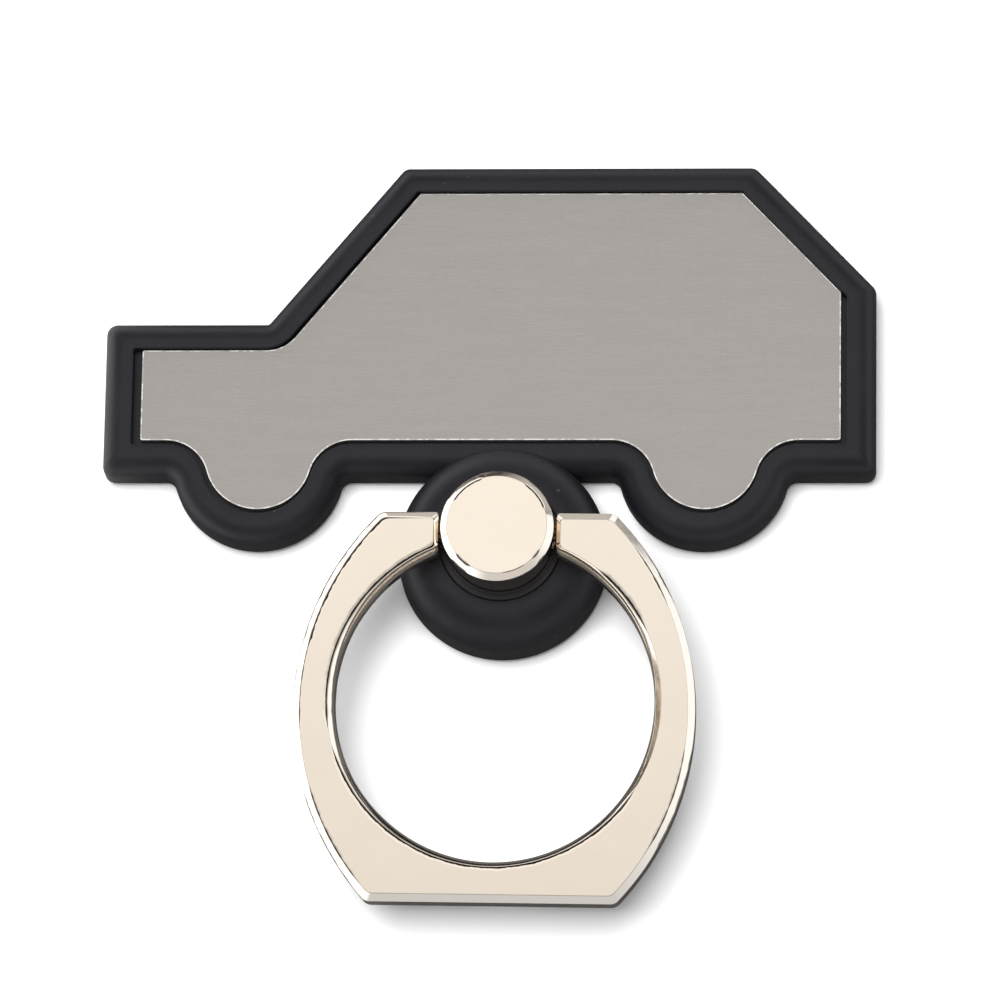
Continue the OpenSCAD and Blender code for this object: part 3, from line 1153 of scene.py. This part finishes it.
@dataclass(frozen=True)
class WornEdge:
    """An edge whose rounding changes along it, as polishing leaves it.

    Attributes:
        crisp: radius where the edge is crisp.
        spans: pieces of the edge as (from, to, radius), bearings in degrees.
        fade: width over which a span runs in, in degrees.
        ragged: share by which the radius of the spans flutters.
    """

    crisp: float
    spans: tuple[Triple, ...]
    fade: float
    ragged: float

    def radius(self, angle: float) -> float:
        """The rounding at one place of the edge.

        Args:
            angle: its bearing in radians.

        Returns:
            The radius.
        """
        degrees = math.degrees(angle)
        flutter = sum(math.sin(waves * angle + phase) for waves, phase in FLUTTER)
        radius = self.crisp
        for low, high, size in self.spans:
            away = abs((degrees - (low + high) / 2 + 180) % 360 - 180)
            share = min(max(((high - low) / 2 - away) / self.fade, 0.0), 1.0)
            size *= 1 + self.ragged * flutter / 2
            radius = max(radius, self.crisp + (size - self.crisp) * share * share * (3 - 2 * share))
        return radius


def bevel(depth: float, chamfer: float, edge: float) -> float:
    """How far a chamfered wall stands back at a depth below the face.

    Args:
        depth: distance below the face.
        chamfer: width of the 45 degree chamfer.
        edge: radius that rounds both edges of the chamfer.

    Returns:
        The distance from the wall.
    """
    t = edge * math.tan(EIGHTH / 2)
    if depth < edge * (1 - math.cos(EIGHTH)):
        return chamfer + t - math.sqrt(max(edge * edge - (edge - depth) ** 2, 0.0))
    if depth < chamfer - t * math.cos(EIGHTH):
        return chamfer - depth
    if depth < chamfer + t:
        return edge - math.sqrt(max(edge * edge - (chamfer + t - depth) ** 2, 0.0))
    return 0.0


def bevel_depths(chamfer: float, edges: Sequence[float]) -> set[float]:
    """Depths below the face at which a chamfer and the rounds at its edges turn.

    Args:
        chamfer: width of the chamfer.
        edges: radii of the rounds.

    Returns:
        The depths.
    """
    depths = {0.0}
    for edge in edges:
        t = edge * math.tan(EIGHTH / 2)
        depths.update(edge * (1 - math.cos(EIGHTH * k / CHAMFER_TOP_STEPS))
                      for k in range(1, CHAMFER_TOP_STEPS + 1))
        depths.update(chamfer + t - edge * math.sin(EIGHTH * k / CHAMFER_FOOT_STEPS)
                      for k in range(CHAMFER_FOOT_STEPS + 1))
    return depths


@dataclass(frozen=True)
class HubBlock:
    """The plated round block that carries the ring.

    Attributes:
        edges: edge radii whose turns are given levels of their own.
        wall: where the plain wall starts above the foot and ends below the top.
        brim: width of the flat band inside the chamfer.
        core: radius of the innermost row of points.
    """

    levels: Levels = Levels()
    diameter: float = 7.8
    chamfer: float = 0.45
    wear: WornEdge = WornEdge(0.05, ((106, 152, 0.36), (18, 58, 0.34), (216, 240, 0.42),
                                     (314, 330, 0.38), (276, 306, 0.16)), 5.0, 0.1)
    edges: tuple[float, ...] = (0.05, 0.16, 0.38)
    foot: float = 0.1
    wall: Span = (0.3, 1.1)
    brim: float = 0.2
    core: float = 0.02
    spigot_d: float = 2.44
    spigot_len: float = 1.9
    sleeve_d: float = 2.22
    sleeve_len: float = 1.9
    sleeve_turns: int = 64
    turn_deg: float = -0.6
    turns: int = 288

    def block(self) -> Piece:
        """Skins the turned block, its top edge rounded unevenly, with the spigot's hole.

        Returns:
            The block without its sleeve holes.
        """
        lv, r, foot = self.levels, self.diameter / 2, self.foot
        hole, ceiling = self.spigot_d / 2, lv.hub + self.spigot_len
        plain = ([(self.core, ceiling), (hole, ceiling), (hole, lv.hub)]
                 + quarter_round(r - foot, lv.hub + foot, foot, -90, 5, way=1)
                 + [(r, lv.hub + self.wall[0]), (r, lv.hub_top - self.wall[1])])
        turns = [2 * math.pi * k / self.turns for k in range(self.turns)]
        worn = [self.wear.radius(a) for a in turns]
        rows = [[lifted(radius * ray(a), height) for a in turns] for radius, height in plain]
        for depth in sorted(bevel_depths(self.chamfer, self.edges), reverse=True):
            rows.append([lifted((r - bevel(depth, self.chamfer, edge)) * ray(a), lv.hub_top - depth)
                         for a, edge in zip(turns, worn)])
        for inside in (r - self.chamfer - self.brim, hole, self.core):
            rows.append([lifted(inside * ray(a), lv.hub_top) for a in turns])
        return lofted("hub_block", rows)

    def sleeve_hole(self, side: int) -> Piece:
        """Cutter for the hole that takes one drag sleeve.

        Args:
            side: 1 on the right, -1 on the left.

        Returns:
            The cutter.
        """
        r, outside = self.sleeve_d / 2, self.diameter / 2
        turns = [2 * math.pi * k / self.sleeve_turns for k in range(self.sleeve_turns)]
        rows = [[Vector((side * x, r * math.cos(a), self.levels.hinge + r * math.sin(a))) * MM
                 for a in turns] for x in (outside - self.sleeve_len, outside + OVERCUT)]
        hole = lofted("sleeve_hole", rows, Cap.BOTH)
        hole.data.transform(Matrix.Rotation(math.radians(self.turn_deg), 4, "Z"))
        return hole

    def build(self) -> Piece:
        """Turns the hub and cuts its two sleeve holes.

        Returns:
            The hub.
        """
        block = finish_mesh(self.block())
        for side in (-1, 1):
            block = combined(block, finish_mesh(self.sleeve_hole(side)), Join.CUT)
        return finish_mesh(block)


@dataclass(frozen=True)
class FingerRing:
    """The plated finger ring, drawn flat about the hinge axis and hung from it.

    Attributes:
        edges: edge radii whose turns are given levels of their own.
        between: first depth, spacing and number of the levels spread over the chamfer.
        wall: levels of the plain wall, as shares of half the thickness.
        level_gap: levels closer than this to the one before are left out.
        brim: width of the flat band inside the edges of the faces.
        corners: length cut off at each corner of the outline.
        counts: chords in each run of the outline.
        mouth_guess: first guess of the bearing at which the hole meets the ring's end, in radians.
        mouth_tries: how often that bearing is improved.
    """

    levels: Levels = Levels()
    bore_d: float = 21.1
    bore_stretch: float = 0.8
    bore_y: float = 11.9
    bore_belly: float = 0.44
    bore_blend: float = 0.12
    ring_w: float = 27.6
    side_r: float = 19.3
    side_y: float = 12.55
    top: float = 1.2
    foot: float = 25.8
    thick: float = 3.0
    end_x: float = 4.06
    chamfer: float = 0.5
    bore_chamfer: float = 0.5
    end_chamfer: float = 0.3
    outer_wear: WornEdge = WornEdge(0.05, ((112, 168, 0.5), (160, 192, 0.26), (204, 236, 0.36),
                                           (28, 50, 0.34), (-46, -12, 0.32)), 7.0, 0.35)
    bore_wear: WornEdge = WornEdge(0.05, ((100, 192, 0.58), (196, 330, 0.58), (24, 54, 0.7)),
                                   8.0, 0.2)
    end_edge: float = 0.1
    edges: tuple[float, ...] = (0.05, 0.18, 0.36, 0.58)
    between: tuple[float, float, int] = (0.06, 0.05, 8)
    wall: tuple[float, ...] = (0.625, 0.75, 0.875)
    level_gap: float = 0.0035
    brim: float = 0.04
    droop_deg: float = 5.2
    turn_deg: float = -0.6
    corners: tuple[float, ...] = (0.35, 0.22, 0.25, 0.25, 0.22, 0.35, 0.3, 0.3)
    counts: tuple[int, ...] = (180, 8, 8, 280, 8, 8, 180, 16)
    corner_steps: int = 8
    side_steps: int = 240
    bore_steps: int = 420
    mouth_guess: float = math.pi / 3
    mouth_tries: int = 12

    def hole_reach(self, angle: float, height: float) -> float:
        """Distance from the middle of the finger hole to its wall.

        The wall bulges inwards and is stretched along the ring's length; the chamfers
        are round, so they are broad at the sides and narrow at the top and bottom.

        Args:
            angle: direction in the ring's plane, in radians.
            height: level in the thickness, zero in the middle.

        Returns:
            The distance, with a soft blend where chamfer and wall meet.
        """
        wall = self.thick / 2 - self.bore_chamfer
        r, half = self.bore_d / 2, self.bore_stretch / 2
        waist = r + self.bore_belly * min(1.0, abs(height) / wall) ** 2
        c, s = math.cos(angle), abs(math.sin(angle))
        straight = waist / max(abs(c), 1e-6)
        if straight * s > half:
            straight = half * s + math.sqrt(waist * waist - half * half * c * c)
        depth = self.thick / 2 - abs(height)
        cone = r + self.bore_belly + bevel(depth, self.bore_chamfer, self.bore_wear.radius(angle))
        near = max(self.bore_blend - abs(cone - straight), 0.0) / self.bore_blend
        return max(cone, straight) + near * near * self.bore_blend / 4

    def heights(self) -> list[float]:
        """Levels through the thickness, close together where an edge turns.

        Returns:
            The heights from the lower face to the upper one, zero in the middle.
        """
        half = self.thick / 2
        first, spacing, count = self.between
        deep = bevel_depths(self.chamfer, self.edges)
        deep |= bevel_depths(self.end_chamfer, (self.end_edge,))
        deep.update(first + spacing * k for k in range(count))
        deep.update(half * share for share in self.wall)
        spaced = [0.0]
        for depth in sorted(deep):
            if depth - spaced[-1] > self.level_gap:
                spaced.append(depth)
        return [-(half - d) for d in spaced] + [half - d for d in reversed(spaced)]

    def worn_side(self, centre: Vector, r: float, start: float, sweep: float, depth: float) -> Loop:
        """A curved side, standing back further where its edge is worn.

        Args:
            centre: centre of the curved side.
            r: its radius at this level.
            start: bearing of its first point in radians.
            sweep: angle swept.
            depth: distance below the face.

        Returns:
            The points of the side.
        """
        middle = Vector((0, -self.bore_y))
        even = bevel(depth, self.chamfer, self.outer_wear.crisp)
        side = []
        for point in arc(centre, r, start, sweep, self.side_steps):
            edge = self.outer_wear.radius(bearing(point - middle))
            worn = bevel(depth, self.chamfer, edge) - even
            side.append(point + (centre - point).normalized() * worn)
        return side

    def flat_loop(self, height: float, brim: float) -> Loop:
        """The closed outline of one level.

        Args:
            height: level in the thickness, zero in the middle.
            brim: further inset of every edge, for the rim of the flat faces.

        Returns:
            The loop, counter-clockwise, in the ring's own plane.
        """
        depth = self.thick / 2 - abs(height)
        outer = bevel(depth, self.chamfer, self.outer_wear.crisp) + brim
        face = self.end_x + bevel(depth, self.end_chamfer, self.end_edge) + brim
        r, shift = self.side_r - outer, self.side_r - self.ring_w / 2
        top, foot = self.top - outer, -self.foot + outer
        low, high = (math.asin((y + self.side_y) / r) for y in (foot, top))
        middle, start = Vector((0, -self.bore_y)), self.mouth_guess
        for _ in range(self.mouth_tries):
            start = math.acos(face / (self.hole_reach(start, height) + brim))
        turns = [start - (math.pi + 2 * start) * k / self.bore_steps
                 for k in range(self.bore_steps + 1)]
        right = self.worn_side(Vector((-shift, -self.side_y)), r, low, high - low, depth)
        bore = [middle + (self.hole_reach(a, height) + brim) * ray(a) for a in turns]
        left = self.worn_side(Vector((shift, -self.side_y)), r, math.pi - high, high - low, depth)
        ends = Vector((face, top)), Vector((-face, top))
        runs = [right, [right[-1], ends[0]], [ends[0], bore[0]], bore,
                [bore[-1], ends[1]], [ends[1], left[0]], left, [left[-1], right[0]]]
        return blended_loop(runs, self.counts, self.corners, self.corner_steps)

    def build(self) -> Piece:
        """Skins the levels and hangs the ring at its resting angle.

        Returns:
            The ring.
        """
        levels = self.heights()
        brims = [self.brim] + [0.0] * len(levels) + [self.brim]
        rows = [[lifted(p, height) for p in self.flat_loop(height, brim)]
                for height, brim in zip(levels[:1] + levels + levels[-1:], brims)]
        ring = lofted("finger_loop", rows, Cap.BOTH)
        hang = (Matrix.Translation(Vector((0, 0, self.levels.hinge * MM)))
                @ Matrix.Rotation(math.radians(self.turn_deg), 4, "Z")
                @ Matrix.Rotation(math.radians(self.droop_deg), 4, "X"))
        ring.data.transform(hang)
        return finish_mesh(ring)


# Camera, light and surroundings


@dataclass(frozen=True)
class PhotoCamera:
    """A long lens above the object, a little below and to the right of it."""

    tilt_deg: float = 15.5
    yaw_deg: float = 3.3
    distance: float = 500.0
    field: float = 70.0
    aim: Triple = (-0.35, 4.32, 0.6)
    sensor: float = 36.0
    clip_m: Span = (0.01, 20.0)

    def build(self) -> None:
        """Makes the camera and sets it as the scene's."""
        tilt, yaw = math.radians(self.tilt_deg), math.radians(self.yaw_deg)
        back = Vector((math.sin(yaw), -math.sin(tilt) * math.cos(yaw),
                       math.cos(tilt) * math.cos(yaw)))
        right = (Vector((1, 0, 0)) - back * back.x).normalized()
        data = bpy.data.cameras.new("camera")
        data.sensor_width = self.sensor
        data.lens = self.sensor * self.distance / self.field
        data.clip_start, data.clip_end = self.clip_m
        camera = bpy.data.objects.new("camera", data)
        turn = Matrix((right, back.cross(right), back)).transposed().to_4x4()
        place = (Vector(self.aim) + back * self.distance) * MM
        camera.matrix_world = Matrix.Translation(place) @ turn
        bpy.context.scene.collection.objects.link(camera)
        bpy.context.scene.camera = camera


@dataclass(frozen=True)
class Studio:
    """Pale room: an overexposed floor, walls, a ceiling panel, and a dark gap between those two.

    The gap is what draws thin dark lines along the polished edges. Lengths are in metres, levels
    are brightness, and each span says where a change starts and ends: floor spans in metres,
    the others in the components of the direction.

    Attributes:
        floor_mirrored: tone of the floor in reflections, because the lit floor is overexposed.
        floor_close_painted_shade: the same next to the object, darker there as painted shade;
            floor_left_painted_light what is added on the left, as a painted brighter reflection.
        walls_near: level of the walls towards the camera's foot, walls_left what is added left.
        ceiling_near: level of the panel on that side.
        ceiling_wide: how much slower the panel ends sideways.
        gap_low: level of the gap towards the walls.
        cool: tint of the walls.
    """

    floor_size: float = 4.0
    floor_drop: float = 0.00002
    floor_tone: float = 0.93
    floor_mottle: float = -0.01
    mottle_scale: float = 30.0
    floor_roughness: float = 0.9
    floor_gloss: float = 0.1
    floor_mirrored: float = 0.34
    floor_close_painted_shade: float = 0.1
    close_span: Span = (0.03, 0.06)
    floor_left_painted_light: float = 0.7
    left_span: Span = (-0.024, -0.034)
    key_watts: float = 7.8
    key_size: float = 0.5
    key_place: Triple = (-0.11, 0.03, 0.73)
    key_aim: Triple = (0, 0.008, 0)
    walls: float = 1.2
    walls_near: float = 0.7
    walls_near_span: Span = (-0.75, -0.1)
    walls_left: float = 0.8
    walls_left_span: Span = (-0.15, -0.65)
    walls_top_span: Span = (0.28, 0.2)
    ceiling: float = 1.02
    ceiling_near: float = 0.58
    ceiling_span: Span = (-0.12, 0.14)
    ceiling_wide: float = 0.8
    ceiling_edge_span: Span = (0.26, 0.154)
    gap: float = 0.012
    gap_low: float = 0.7
    gap_span: Span = (0.66, 0.3)
    white: Triple = (1.0, 1.0, 1.0)
    cool: Triple = (0.92, 0.98, 1.06)

    def floor(self) -> None:
        """The table under the object, shown darker in reflections than to the camera."""
        half = self.floor_size / 2
        mesh = bpy.data.meshes.new("floor")
        mesh.from_pydata([(-half, -half, 0), (half, -half, 0), (half, half, 0), (-half, half, 0)],
                         [], [(0, 1, 2, 3)])
        floor = bpy.data.objects.new("floor", mesh)
        floor.location.z = -self.floor_drop
        bpy.context.scene.collection.objects.link(floor)
        material = bpy.data.materials.new("pale_floor")
        material.use_nodes = True
        sheet = NodeSheet(material.node_tree)
        shader = material.node_tree.nodes["Principled BSDF"]
        place = sheet.add("ShaderNodeTexCoord").outputs["Object"]
        tone = sheet.math("MULTIPLY_ADD", sheet.noise(place, self.mottle_scale, 2.0, 0.5),
                          self.floor_mottle, self.floor_tone)
        reach = sheet.add("ShaderNodeVectorMath", operation="LENGTH", Vector=place)
        # painted shade: next to the object the floor is darker still in reflections
        close = sheet.ramp(reach.outputs["Value"], *self.close_span, self.floor_close_painted_shade,
                           self.floor_mirrored)
        # painted light: on the left the floor is brighter in reflections
        left = sheet.ramp(sheet.axes(place)["X"], *self.left_span, 0.0, self.floor_left_painted_light)
        mirrored = sheet.add("ShaderNodeLightPath").outputs["Is Glossy Ray"]
        shown = sheet.mix(mirrored, tone, sheet.math("ADD", close, left), Mixed.VALUE)
        sheet.feed(shader.inputs["Base Color"], shown)
        shader.inputs["Roughness"].default_value = self.floor_roughness
        shader.inputs["Specular IOR Level"].default_value = self.floor_gloss
        mesh.materials.append(material)

    def key(self) -> None:
        """The soft square lamp almost overhead, left out of reflections."""
        data = bpy.data.lights.new("key", "AREA")
        data.energy, data.size = self.key_watts, self.key_size
        lamp = bpy.data.objects.new("key", data)
        lamp.visible_glossy = False
        lamp.location = self.key_place
        aim = Vector(self.key_aim) - Vector(self.key_place)
        lamp.rotation_euler = aim.to_track_quat("-Z", "Y").to_euler()
        bpy.context.scene.collection.objects.link(lamp)

    def surround(self) -> None:
        """Makes the room as a background that depends on the direction only."""
        world = bpy.data.worlds.new("studio")
        bpy.context.scene.world = world
        world.use_nodes = True
        sheet = NodeSheet(world.node_tree)
        background = world.node_tree.nodes["Background"]
        x, y, z = sheet.axes(sheet.add("ShaderNodeTexCoord").outputs["Generated"])
        panel = sheet.ramp(y, *self.ceiling_span, self.ceiling_near, self.ceiling)
        walls = sheet.math("MULTIPLY_ADD", sheet.ramp(x, *self.walls_left_span), self.walls_left,
                           sheet.ramp(y, *self.walls_near_span, self.walls_near, self.walls))
        across = sheet.math("MULTIPLY", x, self.ceiling_wide)
        away = sheet.math("MULTIPLY_ADD", across, across, sheet.math("MULTIPLY", y, y))
        gap = sheet.ramp(z, *self.gap_span, self.gap, self.gap_low)
        side = sheet.ramp(z, *self.walls_top_span)
        above = sheet.mix(sheet.ramp(away, *self.ceiling_edge_span), gap, panel, Mixed.VALUE)
        level = sheet.mix(side, above, walls, Mixed.VALUE)
        sheet.feed(background.inputs["Color"], sheet.mix(side, self.white, self.cool))
        sheet.feed(background.inputs["Strength"], level)

    def build(self) -> None:
        """Sets up floor, light and surroundings."""
        self.floor()
        self.key()
        self.surround()
        bpy.context.scene.view_settings.view_transform = "Standard"


# Dressing


@dataclass
class Dresser:
    """Gives pieces and CAD nodes their finishes and puts them on their bodies."""

    materials: dict[Slot, bpy.types.Material]

    def piece(self, obj: Piece, body: Body, slot: Slot, *nodes: str) -> None:
        """Dresses a modelled piece that stands for CAD nodes.

        Args:
            obj: the piece.
            body: the body it moves with.
            slot: its material slot.
            nodes: the CAD nodes it replaces.
        """
        obj.data.materials.clear()
        obj.data.materials.append(self.materials[slot])
        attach(obj, body.value)
        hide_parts(*nodes)
        LOG.info("%s: %d faces, rides on %s, stands for %s", obj.name, len(obj.data.polygons),
                 body.value, ", ".join(nodes))

    def node(self, name: str, slot: Slot) -> None:
        """Gives a CAD node that stays a procedural finish.

        Args:
            name: name of the node.
            slot: its finish.
        """
        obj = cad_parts[name]
        obj.data.materials.clear()
        obj.data.materials.append(self.materials[slot])
        LOG.info("%s: CAD node, finish %s", name, slot.value)


def finishes() -> dict[Slot, bpy.types.Material]:
    """Builds every finish from the shared effect groups.

    Returns:
        The materials by slot.
    """
    groups = EffectGroups()
    kinds: dict[Slot, Finish] = {
        Slot.SHELL: MouldedFinish("satin_black_shell"),
        Slot.INLAY: BrushedFinish("brushed_stainless"),
        Slot.PLATING: PlatedFinish("pale_gold_plating"),
        Slot.STEEL: TurnedFinish("turned_steel"),
        # the hinge pins get a dark brown copy of the steel: painted shade of the gap between hub
        # and ring ends
        Slot.PINS: TurnedFinish("pins_dark_as_painted_gap_shade", colour=(0.09, 0.07, 0.055),
                                light=(0.16, 0.12, 0.09)),
        Slot.ACETAL: MouldedFinish("black_acetal", roughness=0.38, depth=0.000002),
        Slot.FOAM: FoamFinish("foam_tape"),
        Slot.LINER: FilmFinish("liner_film"),
    }
    return {slot: kind.material(groups) for slot, kind in kinds.items()}


def main() -> None:
    """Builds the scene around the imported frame."""
    logging.basicConfig(level=logging.INFO, format="%(message)s")
    dresser = Dresser(finishes())
    dresser.piece(CarHousing().build(), Body.BASE, Slot.SHELL, "housing")
    dresser.piece(InlayPlate().build(), Body.BASE, Slot.INLAY, "inlay_plate")
    dresser.piece(SwivelBush().build(), Body.BASE, Slot.ACETAL, "swivel_bush")
    dresser.piece(HubBlock().build(), Body.SWIVEL, Slot.PLATING, "hub")
    dresser.piece(FingerRing().build(), Body.RING, Slot.PLATING, "finger_ring")
    for slot, names in (
        (Slot.STEEL, ("swivel_post", "thrust_washer", "spring_washer", "retaining_clip")),
        (Slot.PINS, ("hinge_pin_left", "hinge_pin_right")),
        (Slot.ACETAL, ("drag_sleeve_left", "drag_sleeve_right")),
        (Slot.SHELL, ("boss_cover",)),
        (Slot.FOAM, ("plate_tape", "mounting_pad")),
        (Slot.LINER, ("release_liner",)),
    ):
        for name in names:
            dresser.node(name, slot)
    PhotoCamera().build()
    Studio().build()
    bpy.context.view_layer.update()


if __name__ == "__main__":
    main()
